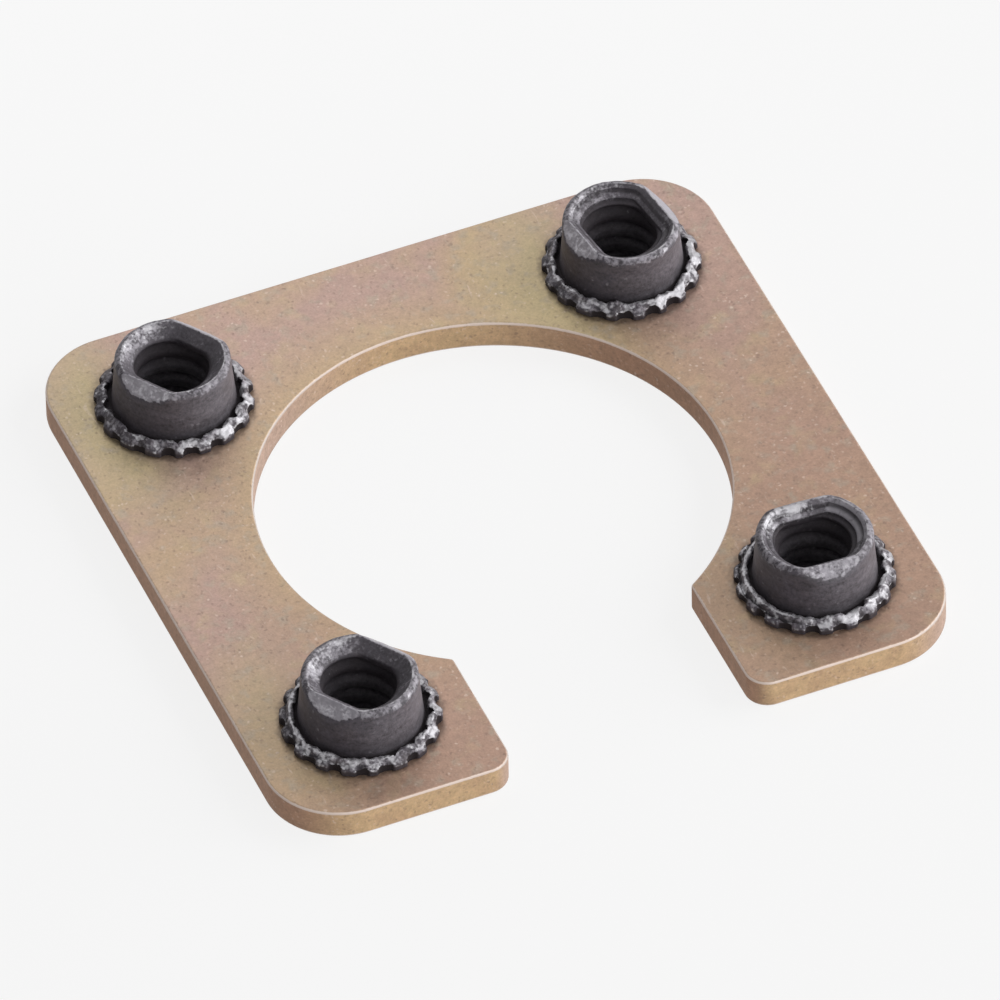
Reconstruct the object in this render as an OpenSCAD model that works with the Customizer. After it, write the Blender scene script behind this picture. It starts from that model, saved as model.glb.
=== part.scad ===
// Flange nut plate: a stamped square plate, open on one side, that carries four self-locking clinch nuts.
// Millimetres. The underside of the plate lies on z = 0, the nuts point to +Z and the slot opens to -Y.

/* [Plate] */
// Width and length of the square plate
plate_w = 22.35; // [20.5:0.05:26]
// Thickness of the sheet
plate_t = 1.02; // [0.8:0.01:1.6]
// Radius of the outer corners
corner_r = 2.4; // [1:0.1:3.5]
// Broken edge round the outline, the opening and the slot
edge_break = 0.1; // [0.02:0.01:0.2]

/* [Opening] */
// Diameter of the round opening
opening_d = 14.8; // [10:0.1:15.2]
// Width of the slot from the opening to the front edge
slot_w = 7.9; // [4:0.1:8.5]
// Radius of the two tips beside the mouth of the slot
tip_r = 0.75; // [0.3:0.05:1]

/* [Nuts] */
// Spacing of the nuts, across and along
nut_pitch = 15.09; // [14.8:0.01:16]
// Height of a nut above the plate
nut_h = 2; // [1.6:0.05:3]
// Diameter of the barrel at its root
barrel_d = 3.82; // [3.7:0.02:3.9]
// Diameter of the barrel at its top
barrel_top_d = 3.6; // [3.58:0.02:3.68]
// Rounded-off shoulder of the barrel, as a chamfer
rim_break = 0.18; // [0.04:0.01:0.18]
// Minor diameter of the thread
bore_d = 2.26; // [2:0.02:2.4]
// Diameter of the funnel at the top of the bore
mouth_d = 3.2; // [2.9:0.02:3.2]
// Diameter of the lead-in at the foot of the bore
lead_d = 2.84; // [2.6:0.02:3]

/* [Knurled collar] */
// Diameter over the knurl
collar_d = 5; // [4.8:0.05:5.2]
// Height of the collar's crest above the plate
collar_h = 0.46; // [0.4:0.02:0.6]
// Height of the collar's outer edge above the plate
collar_edge_h = 0.26; // [0.16:0.02:0.4]
// Diameter of the crest's inner edge
crest_d = 4.4; // [4.3:0.02:4.5]
// Height of the groove's floor between crest and barrel
groove_h = 0.22; // [0.1:0.02:0.3]
// Number of notches round the collar
knurl_count = 18; // [12:1:20]
// Radius of an outer notch
notch_r = 0.2; // [0.16:0.01:0.22]
// Depth of an outer notch
notch_depth = 0.16; // [0.06:0.01:0.17]
// Radius of a pocket behind the crest
pocket_r = 0.15; // [0.08:0.01:0.16]
// Turn of the pockets against the outer notches, in degrees
pocket_turn = 7; // [0:1:10]

/* [Swaged shank] */
// Diameter of the shank in the plate
shank_d = 3.9; // [3.5:0.05:4.1]
// Diameter of the swaged foot
foot_d = 4.4; // [4.2:0.05:4.6]
// Height of the swaged foot
foot_h = 0.35; // [0.2:0.05:0.5]
// How far the foot stays inside the underside
foot_recess = 0.05; // [0.02:0.01:0.1]

/* [Crimp] */
// Distance of a crimped flat from the axis at the top
flat_reach = 1.4; // [1.38:0.02:1.56]
// Lean of a crimped flat from the vertical, in degrees
flat_lean = 45; // [25:1:50]
// Half width of the bore between the crimped sides
throat_reach = 1.02; // [0.9:0.02:1.1]
// Half width of the mouth between the crimped sides
mouth_reach = 1.36; // [1.2:0.02:1.38]
// Depth over which the bore is squeezed
throat_depth = 0.8; // [0.6:0.05:1.2]
// Direction of the flats on the rear left nut, in degrees
flats_rear_left = -56; // [-90:1:90]
// Direction of the flats on the rear right nut, in degrees
flats_rear_right = -82; // [-90:1:90]
// Direction of the flats on the front left nut, in degrees
flats_front_left = -55; // [-90:1:90]
// Direction of the flats on the front right nut, in degrees
flats_front_right = -3; // [-90:1:90]

/* [Hidden] */
$fn = 96;
plate_colour = "#b9a084";
nut_colour = "#4c484c";
half = plate_w / 2;
slot_half = slot_w / 2;
opening_r = opening_d / 2;
top_z = plate_t + nut_h;
reach = plate_w;      // longer than any cut needs
past = 0.5;           // how far a cut runs past a face
knurl_step = 360 / knurl_count;
collar_slope = (collar_h - collar_edge_h) / (collar_d - crest_d) * 2;
foot_flare = (foot_d - shank_d) / 2;
mouth_drop = (mouth_d - bore_d) / 2;
lead_drop = (lead_d - bore_d) / 2;
throat_ease = 0.2;    // height of the slope from the bore up into the throat
notches_rear_left = 2;
notches_rear_right = 8;
notches_front_left = 7;
notches_front_right = 3;

// Cross-section of a sheet edge: from an inner line out to a broken edge
module sheet_section(inner, outer) {
    polygon([
        [inner, 0],
        [outer - edge_break, 0],
        [outer, edge_break],
        [outer, plate_t - edge_break],
        [outer - edge_break, plate_t],
        [inner, plate_t]
    ]);
}

// Cross-section of a cut through the sheet that breaks both edges
module cut_section(inner, outer) {
    polygon([
        [inner, -past],
        [outer + edge_break + past, -past],
        [outer, edge_break],
        [outer, plate_t - edge_break],
        [outer + edge_break + past, plate_t + past],
        [inner, plate_t + past]
    ]);
}

// A bar of sheet across the plate, between two of the corners' centre lines
module sheet_bar() {
    rotate([90, 0, 0])
        linear_extrude(plate_w - 2 * corner_r, center = true)
            union() {
                sheet_section(0, half);
                mirror([1, 0]) sheet_section(0, half);
            }
}

module sheet_disc(radius) {
    rotate_extrude() sheet_section(0, radius);
}

// The blank with its four rounded corners
module blank() {
    sheet_bar();
    rotate([0, 0, 90]) sheet_bar();
    for (x = [-1, 1], y = [-1, 1])
        translate([x * (half - corner_r), y * (half - corner_r), 0])
            sheet_disc(corner_r);
}

module opening_cut() {
    rotate_extrude() cut_section(0, opening_r);
}

// The slot runs from inside the opening out past the front edge
module slot_cut() {
    translate([0, -opening_r / 2, 0])
        rotate([90, 0, 0])
            linear_extrude(reach)
                union() {
                    cut_section(0, slot_half);
                    mirror([1, 0]) cut_section(0, slot_half);
                }
}

// Corner of sheet that a rounded tip takes the place of
module tip_cut(side) {
    translate([side > 0 ? slot_half - tip_r : -slot_half - tip_r, -half - tip_r, -past])
        cube([2 * tip_r, 2 * tip_r, plate_t + 2 * past]);
}

module tip_disc(side) {
    translate([side * (slot_half + tip_r), -half + tip_r, 0])
        sheet_disc(tip_r);
}

// Hole for a shank, countersunk below for its swaged foot
module shank_cut(x, y) {
    translate([x * nut_pitch / 2, y * nut_pitch / 2, 0])
        rotate_extrude()
            polygon([
                [0, -past],
                [foot_d / 2 + foot_flare * (past + foot_recess) / (foot_h - foot_recess), -past],
                [shank_d / 2, foot_h],
                [shank_d / 2, plate_t + past],
                [0, plate_t + past]
            ]);
}

module plate() {
    color(plate_colour) {
        difference() {
            union() {
                difference() {
                    blank();
                    opening_cut();
                    slot_cut();
                    for (side = [-1, 1]) tip_cut(side);
                }
                for (side = [-1, 1]) tip_disc(side);
            }
            for (x = [-1, 1], y = [-1, 1]) shank_cut(x, y);
        }
    }
}

// Turned outline of a nut: swaged foot, shank and tapered barrel
module nut_section() {
    polygon([
        [0, foot_recess],
        [foot_d / 2, foot_recess],
        [shank_d / 2, foot_h],
        [shank_d / 2, plate_t],
        [barrel_d / 2, plate_t],
        [barrel_top_d / 2, top_z - rim_break],
        [barrel_top_d / 2 - rim_break, top_z],
        [0, top_z]
    ]);
}

// A ring of round cuts at one radius
module cut_ring(ring_r, cut_r) {
    for (i = [0 : knurl_count - 1])
        rotate(i * knurl_step)
            translate([ring_r, 0])
                circle(r = cut_r);
}

// Collar of a nut: notched outside, with a pocketed groove behind its crest
module collar() {
    difference() {
        intersection() {
            translate([0, 0, plate_t])
                linear_extrude(collar_h)
                    difference() {
                        circle(d = collar_d);
                        cut_ring(collar_d / 2 - notch_depth + notch_r, notch_r);
                    }
            rotate_extrude()
                polygon([
                    [0, plate_t - past],
                    [collar_d / 2 + past, plate_t - past],
                    [collar_d / 2 + past, plate_t + collar_edge_h - past * collar_slope],
                    [crest_d / 2, plate_t + collar_h],
                    [0, plate_t + collar_h]
                ]);
        }
        translate([0, 0, plate_t + groove_h])
            linear_extrude(collar_h)
                rotate(pocket_turn)
                    union() {
                        circle(d = crest_d);
                        cut_ring(crest_d / 2 - pocket_r / 2, pocket_r);
                    }
    }
}

// Threaded bore below the crimp, with its lead-in at the foot
module bore_cut() {
    rotate_extrude()
        polygon([
            [0, -past],
            [lead_d / 2 + past, -past],
            [lead_d / 2 + past, foot_recess - past],
            [lead_d / 2, foot_recess],
            [bore_d / 2, foot_recess + lead_drop],
            [bore_d / 2, top_z - throat_depth],
            [0, top_z - throat_depth]
        ]);
}

// Mouth at the top: the bore and its funnel, squeezed between the crimped sides
module mouth_cut() {
    intersection() {
        rotate_extrude()
            polygon([
                [0, top_z - throat_depth],
                [bore_d / 2, top_z - throat_depth],
                [bore_d / 2, top_z - mouth_drop],
                [mouth_d / 2 + past, top_z + past],
                [0, top_z + past]
            ]);
        along_flats()
            union() {
                throat_section();
                mirror([1, 0]) throat_section();
            }
    }
}

// Half of the squeezed bore, across the flats
module throat_section() {
    polygon([
        [0, top_z - throat_depth],
        [bore_d / 2, top_z - throat_depth],
        [throat_reach, top_z - throat_depth + throat_ease],
        [throat_reach, top_z - mouth_reach + throat_reach],
        [mouth_reach, top_z],
        [mouth_reach, top_z + past],
        [0, top_z + past]
    ]);
}

// What the crimp takes off one side of the barrel, across the flats
module flat_section() {
    polygon([
        [flat_reach - past * tan(flat_lean), top_z + past],
        [flat_reach + past * tan(flat_lean), top_z - past],
        [collar_d, top_z - past],
        [collar_d, top_z + past]
    ]);
}

// Runs a section across the flats along them, on X
module along_flats() {
    rotate([90, 0, 90])
        linear_extrude(reach, center = true)
            children();
}

// One self-locking nut; flats gives the direction of its crimped sides, notches turns the knurl
module clinch_nut(x, y, flats, notches) {
    color(nut_colour)
        translate([x * nut_pitch / 2, y * nut_pitch / 2, 0])
            rotate(flats)
                difference() {
                    union() {
                        rotate_extrude() nut_section();
                        rotate(notches - flats) collar();
                    }
                    bore_cut();
                    mouth_cut();
                    along_flats() flat_section();
                    along_flats() mirror([1, 0]) flat_section();
                }
}

module nut_rear_left() {
    clinch_nut(-1, 1, flats_rear_left, notches_rear_left);
}

module nut_rear_right() {
    clinch_nut(1, 1, flats_rear_right, notches_rear_right);
}

module nut_front_left() {
    clinch_nut(-1, -1, flats_front_left, notches_front_left);
}

module nut_front_right() {
    clinch_nut(1, -1, flats_front_right, notches_front_right);
}

plate();
nut_rear_left();
nut_rear_right();
nut_front_left();
nut_front_right();
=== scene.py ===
import math
import random

import bpy
from mathutils import Matrix, Vector, noise


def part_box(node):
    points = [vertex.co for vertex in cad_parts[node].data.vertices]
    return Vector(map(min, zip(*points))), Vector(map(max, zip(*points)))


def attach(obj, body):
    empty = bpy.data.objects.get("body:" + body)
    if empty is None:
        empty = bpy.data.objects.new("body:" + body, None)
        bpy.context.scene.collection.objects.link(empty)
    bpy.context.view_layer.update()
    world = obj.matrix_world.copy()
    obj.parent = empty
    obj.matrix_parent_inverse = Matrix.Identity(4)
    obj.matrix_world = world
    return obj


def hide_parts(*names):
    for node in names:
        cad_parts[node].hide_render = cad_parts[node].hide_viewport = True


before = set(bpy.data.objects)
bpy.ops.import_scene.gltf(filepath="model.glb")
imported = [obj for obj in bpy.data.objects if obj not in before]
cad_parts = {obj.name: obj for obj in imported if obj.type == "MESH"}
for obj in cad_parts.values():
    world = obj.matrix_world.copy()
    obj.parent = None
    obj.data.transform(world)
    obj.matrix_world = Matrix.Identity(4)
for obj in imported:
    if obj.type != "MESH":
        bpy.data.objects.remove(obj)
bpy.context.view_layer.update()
mm = 0.001
hair = 0.001 * mm  # points closer than this count as one
print("frame loaded with", len(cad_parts), "nodes")


# everyday helpers
def activate(piece):
    if bpy.context.object and bpy.context.object.mode != "OBJECT":
        bpy.ops.object.mode_set(mode="OBJECT")
    bpy.ops.object.select_all(action="DESELECT")
    piece.select_set(True)
    bpy.context.view_layer.objects.active = piece


def smoothStep(low, high, value):
    t = min(max((value - low) / (high - low), 0.0), 1.0)
    return t * t * (3 - 2 * t)


def softMin(value, limit, softness):
    # a rounded corner in place of a hard clamp
    return limit - softness * math.log1p(math.exp((limit - value) / softness))


nutNames = ("nut_rear_left", "nut_rear_right", "nut_front_left", "nut_front_right")


def nutCentre(name):
    low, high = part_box(name)
    return (low + high) / 2


nutOffset = nutCentre("nut_rear_right").x  # from the plate's middle to each nut, along x and along y


# camera, at the angle of the photograph
cameraLook = {
    "azimuth": -21.9876,
    "elevation": 44.5937,
    "roll": -1.2682,
    "distance": 560.7 * mm,
    "lens": 653.57,
    "stepRight": 0.203 * mm,  # the middle of the picture lies a little off the plate's middle
    "stepUp": 0.417 * mm,
    "sensor": 36,
    "nearest": 10 * mm,
    "farthest": 20,
}


def placeCamera():
    azimuth = math.radians(cameraLook["azimuth"])
    elevation = math.radians(cameraLook["elevation"])
    roll = math.radians(cameraLook["roll"])
    back = Vector((math.sin(azimuth) * math.cos(elevation),
                   -math.cos(azimuth) * math.cos(elevation),
                   math.sin(elevation)))
    levelRight = Vector((math.cos(azimuth), math.sin(azimuth), 0))
    levelUp = back.cross(levelRight)
    right = levelRight * math.cos(roll) + levelUp * math.sin(roll)
    up = levelUp * math.cos(roll) - levelRight * math.sin(roll)
    bpy.ops.object.camera_add()
    camera = bpy.context.object
    turn = Matrix((right, up, back)).transposed().to_4x4()
    aside = right * cameraLook["stepRight"] + up * cameraLook["stepUp"]
    place = back * cameraLook["distance"] + aside
    camera.matrix_world = Matrix.Translation(place) @ turn
    camera.data.sensor_width = cameraLook["sensor"]
    camera.data.lens = cameraLook["lens"]
    camera.data.clip_start = cameraLook["nearest"]
    camera.data.clip_end = cameraLook["farthest"]
    bpy.context.scene.camera = camera


placeCamera()
print("camera placed")


# short cuts for node trees
noiseRange = (0.30, 0.70)  # most values of a noise lie between these


def addNode(tree, kind, values=None, **settings):
    node = tree.nodes.new(kind)
    for name, value in settings.items():
        setattr(node, name, value)
    for name, value in (values or {}).items():
        node.inputs[name].default_value = value
    return node


def wire(tree, source, target):
    # a socket is linked, a plain value is set
    if isinstance(source, bpy.types.NodeSocket):
        tree.links.new(source, target)
    else:
        target.default_value = source


def objectPlace(tree):
    return tree.nodes.new("ShaderNodeTexCoord").outputs["Object"]


def shift(tree, place, offset, stretch=(1, 1, 1), turn=(0, 0, 0)):
    node = addNode(tree, "ShaderNodeMapping", {"Location": offset, "Scale": stretch, "Rotation": turn})
    wire(tree, place, node.inputs["Vector"])
    return node.outputs["Vector"]


def cloud(tree, place, scale, detail=2.0, rough=0.5, twist=0.0):
    node = addNode(tree, "ShaderNodeTexNoise",
                   {"Scale": scale, "Detail": detail, "Roughness": rough, "Distortion": twist})
    wire(tree, place, node.inputs["Vector"])
    return node.outputs["Fac"]


def spots(tree, place, scale):
    node = addNode(tree, "ShaderNodeTexVoronoi", {"Scale": scale}, feature="F1")
    wire(tree, place, node.inputs["Vector"])
    return node.outputs["Distance"], node.outputs["Color"]


def remap(tree, value, low, high, toLow=0.0, toHigh=1.0):
    node = addNode(tree, "ShaderNodeMapRange",
                   {"From Min": low, "From Max": high, "To Min": toLow, "To Max": toHigh})
    wire(tree, value, node.inputs["Value"])
    return node.outputs["Result"]


def patches(tree, place, scale, levels, strength=1.0, weakest=0.0, offset=(0, 0, 0), **kind):
    # noise as a mask, weakest below the first level and at full strength above the second
    return remap(tree, cloud(tree, shift(tree, place, offset), scale, **kind), *levels, weakest, strength)


def calc(tree, operation, first, second=0.0):
    node = addNode(tree, "ShaderNodeMath", operation=operation)
    wire(tree, first, node.inputs[0])
    wire(tree, second, node.inputs[1])
    return node.outputs[0]


def vector(tree, operation, first, second=None):
    node = addNode(tree, "ShaderNodeVectorMath", operation=operation)
    wire(tree, first, node.inputs[0])
    if second is not None:
        wire(tree, second, node.inputs[1])
    return node.outputs["Value" if operation == "LENGTH" else "Vector"]


def tint(tree, factor, first, second, mode="MIX"):
    node = addNode(tree, "ShaderNodeMix", data_type="RGBA", blend_type=mode)
    wire(tree, factor, node.inputs[0])
    wire(tree, first, node.inputs[6])
    wire(tree, second, node.inputs[7])
    return node.outputs[2]


def fade(tree, factor, first, second):
    node = addNode(tree, "ShaderNodeMix", data_type="FLOAT")
    wire(tree, factor, node.inputs[0])
    wire(tree, first, node.inputs[2])
    wire(tree, second, node.inputs[3])
    return node.outputs[0]


def ragged(tree, place, scale, amount):
    # coordinates shaken by noise, so that marks come out uneven
    node = addNode(tree, "ShaderNodeTexNoise", {"Scale": scale, "Detail": 2.0})
    wire(tree, place, node.inputs["Vector"])
    shaken = vector(tree, "SUBTRACT", node.outputs["Color"], (0.5, 0.5, 0.5))
    return vector(tree, "ADD", place, vector(tree, "MULTIPLY", shaken, (amount, amount, amount)))


def flecks(tree, place, scale, share, size, offset=(0, 0, 0), stretch=(1, 1, 1), turn=0.0):
    # small marks, one in some of the cells, each of its own strength
    near, cell = spots(tree, shift(tree, place, offset, stretch, (0, 0, turn)), scale)
    chance = addNode(tree, "ShaderNodeSeparateColor")
    wire(tree, cell, chance.inputs[0])
    picked = remap(tree, chance.outputs[0], 1 - share, 1.0)
    return calc(tree, "MULTIPLY", remap(tree, near, 0.4 * size, size, 1.0, 0.0), picked)


def fromNearestNut(tree, flat):
    # distance of a point from the axis of the nearest nut
    folded = vector(tree, "ABSOLUTE", flat)
    return vector(tree, "LENGTH", vector(tree, "SUBTRACT", folded, (nutOffset, nutOffset, 0)))


def attribute(tree, name):
    return addNode(tree, "ShaderNodeAttribute", attribute_name=name).outputs["Fac"]


def newMaterial(name):
    material = bpy.data.materials.new(name)
    material.use_nodes = True
    tree = material.node_tree
    return material, tree, tree.nodes["Principled BSDF"]


def bumpFrom(tree, height, distance, strength):
    node = addNode(tree, "ShaderNodeBump", {"Strength": strength, "Distance": distance})
    wire(tree, height, node.inputs["Height"])
    return node.outputs["Normal"]


# wear and painted light that several finishes share: a mask broken up by two sizes of noise
wearLevels = (0.3, 0.7)  # a broken mask turns from whole to worn between these


def makeWearAndLightGroup():
    group = bpy.data.node_groups.new("brokenWearAndLight", "ShaderNodeTree")
    for name, kind in (("Place", "NodeSocketVector"), ("Mask", "NodeSocketFloat"),
                       ("Patch Scale", "NodeSocketFloat"), ("Grain Scale", "NodeSocketFloat"),
                       ("Break", "NodeSocketFloat")):
        group.interface.new_socket(name, in_out="INPUT", socket_type=kind)
    group.interface.new_socket("WearAndLight", in_out="OUTPUT", socket_type="NodeSocketFloat")
    source = group.nodes.new("NodeGroupInput").outputs
    broad = addNode(group, "ShaderNodeTexNoise", {"Detail": 3.0})
    grain = addNode(group, "ShaderNodeTexNoise", {"Detail": 2.0})
    for texture, scale in ((broad, "Patch Scale"), (grain, "Grain Scale")):
        wire(group, source["Place"], texture.inputs["Vector"])
        wire(group, source[scale], texture.inputs["Scale"])
    mixed = calc(group, "ADD", broad.outputs["Fac"], grain.outputs["Fac"])
    centred = calc(group, "MULTIPLY", calc(group, "SUBTRACT", mixed, 1.0), source["Break"])
    wornAndLit = remap(group, calc(group, "ADD", source["Mask"], centred), *wearLevels)
    wire(group, wornAndLit, group.nodes.new("NodeGroupOutput").inputs["WearAndLight"])
    return group


wearAndLightGroup = makeWearAndLightGroup()


def brokenWearAndLight(tree, place, mask, patchScale, grainScale, breakUp):
    node = tree.nodes.new("ShaderNodeGroup")
    node.node_tree = wearAndLightGroup
    wire(tree, place, node.inputs["Place"])
    wire(tree, mask, node.inputs["Mask"])
    node.inputs["Patch Scale"].default_value = patchScale
    node.inputs["Grain Scale"].default_value = grainScale
    node.inputs["Break"].default_value = breakUp
    return node.outputs["WearAndLight"]


# yellow passivated plating of the plate
platingLook = {
    "pink": (0.455, 0.309, 0.260, 1),
    "gold": (0.485, 0.350, 0.218, 1),
    "tan": (0.420, 0.268, 0.198, 1),
    "green": (0.510, 0.420, 0.236, 1),
    "grey": (0.400, 0.338, 0.268, 1),
    "wallGold": (0.615, 0.432, 0.252, 1),
    # the brown wall colour is partly a stain and, on walls that face left, a painted shade
    "wallBrownAndShade": (0.450, 0.272, 0.184, 1),
    # the grey wall colour is a painted dimming on walls that face the side lamp
    "wallDimmedTowardsLamp": (0.475, 0.334, 0.262, 1),
    # pale colour of the broken edges: partly rubbed plating, partly a painted highlight
    "edge": (0.765, 0.650, 0.582, 1),
    # the grey edge colour is a painted dimming of the highlight on edges that face the side lamp
    "edgeDimmedTowardsLamp": (0.545, 0.484, 0.445, 1),
    "paleDot": (0.780, 0.640, 0.540, 1),
    "darkPit": (0.170, 0.112, 0.090, 1),
    # dark colour round the foot of each collar: grime and painted contact shade
    "grimeAndShade": (0.090, 0.062, 0.050, 1),
    "metallic": 0.42,
    "sheetRough": (0.40, 0.54),
    "wallRough": 0.72,
    "wornRough": 0.14,  # added where an edge is rubbed
    # where the colours turn: gold round the opening, tan to the front, and green left of a nut, a painted shade
    # on the side that the nut hides from the side lamp
    "goldReach": (9.6 * mm, 7.6 * mm),
    "goldStrength": 0.9,
    "tanSlant": 0.5,
    "tanReach": (-5 * mm, 7 * mm),
    "tanStrength": 0.9,
    "nutShadeSide": (-0.5 * mm, -2.2 * mm),
    "nutShadeReach": (5.6 * mm, 3.0 * mm),
    "nutShadeStrength": (0.8, 0.2),  # at the rear and at the front
    # noises, with their scales in cells a metre
    "drift": {"scale": 140, "levels": (0.47, 0.64), "offset": (0.012, 0.004, 0),
              "detail": 3.0, "rough": 0.55, "twist": 0.5},
    "film": {"scale": 900, "levels": (0.54, 0.74), "strength": 0.35, "offset": (0.03, 0.01, 0),
             "detail": 3.0, "rough": 0.6},
    "blotch": {"scale": 2300, "levels": (0.55, 0.72), "strength": 0.55, "offset": (0.01, 0.06, 0)},
    "stain": {"scale": 1100, "levels": (0.45, 0.70), "strength": 0.35, "detail": 3.0, "rough": 0.6},
    "crowd": {"scale": 950, "levels": (0.40, 0.62), "weakest": 0.25, "offset": (0.07, 0.02, 0)},
    "mottle": {"scale": 3400, "detail": 4.0, "rough": 0.65},
    "mottleShade": (0.86, 1.12),
    "grain": {"scale": 14000, "rough": 0.6},
    "grainShade": (-0.09, 0.09),
    "uneven": {"scale": 7000, "amount": 0.16 * mm},
    "bent": {"scale": 900, "amount": 0.5 * mm},
    # marks: cells a metre, share of the cells that have one, its size in cells
    "dots": {"scale": 7200, "share": 0.32, "size": 0.40},
    "sparseDots": {"scale": 4300, "share": 0.12, "size": 0.28, "offset": (0.004, 0.009, 0.001)},
    "dotStrength": 0.6,
    "pits": {"scale": 8200, "share": 0.32, "size": 0.46, "offset": (0.051, 0.023, 0.007),
             "stretch": (1.0, 0.7, 1.0), "turn": 0.7},
    "sparsePits": {"scale": 6800, "share": 0.22, "size": 0.42, "offset": (0.021, 0.043, 0.003),
                   "stretch": (0.7, 1.0, 1.0), "turn": 0.4},
    "pitStrength": 0.42,
    "scratch": {"offset": (0.017, 0.005, 0), "stretch": (1.0, 0.10, 1.0)},
    "scratchScale": 5200,
    "scratchBlend": 0.06,
    "scratchSets": ((0.5, 0.71), (-1.0, 0.72)),  # direction and level of each
    "scratchStrength": 0.3,
    # grime and painted contact shade round the collars, and rubbed edges that are partly a painted highlight
    "grimeAndShadeReach": (2.50 * mm, 2.80 * mm),
    "grimeAndShadeMost": 0.66,
    "grimeAndShadeBreak": {"patchScale": 1500, "grainScale": 7000, "breakUp": 0.9},
    "grimeAndShadeStrength": 0.5,
    "edgeWearAndHighlightBreak": {"patchScale": 900, "grainScale": 7000, "breakUp": 0.45},
    "bumpGrain": 0.5,
    "bumpPits": 0.5,
    "bumpDepth": 0.02 * mm,
    "bumpStrength": 0.5,
}


def scratches(tree, place, turn, level):
    # short fine lines along one direction
    along = shift(tree, place, **platingLook["scratch"], turn=(0, 0, turn))
    fine = cloud(tree, along, platingLook["scratchScale"])
    return remap(tree, fine, level, level + platingLook["scratchBlend"])


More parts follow.
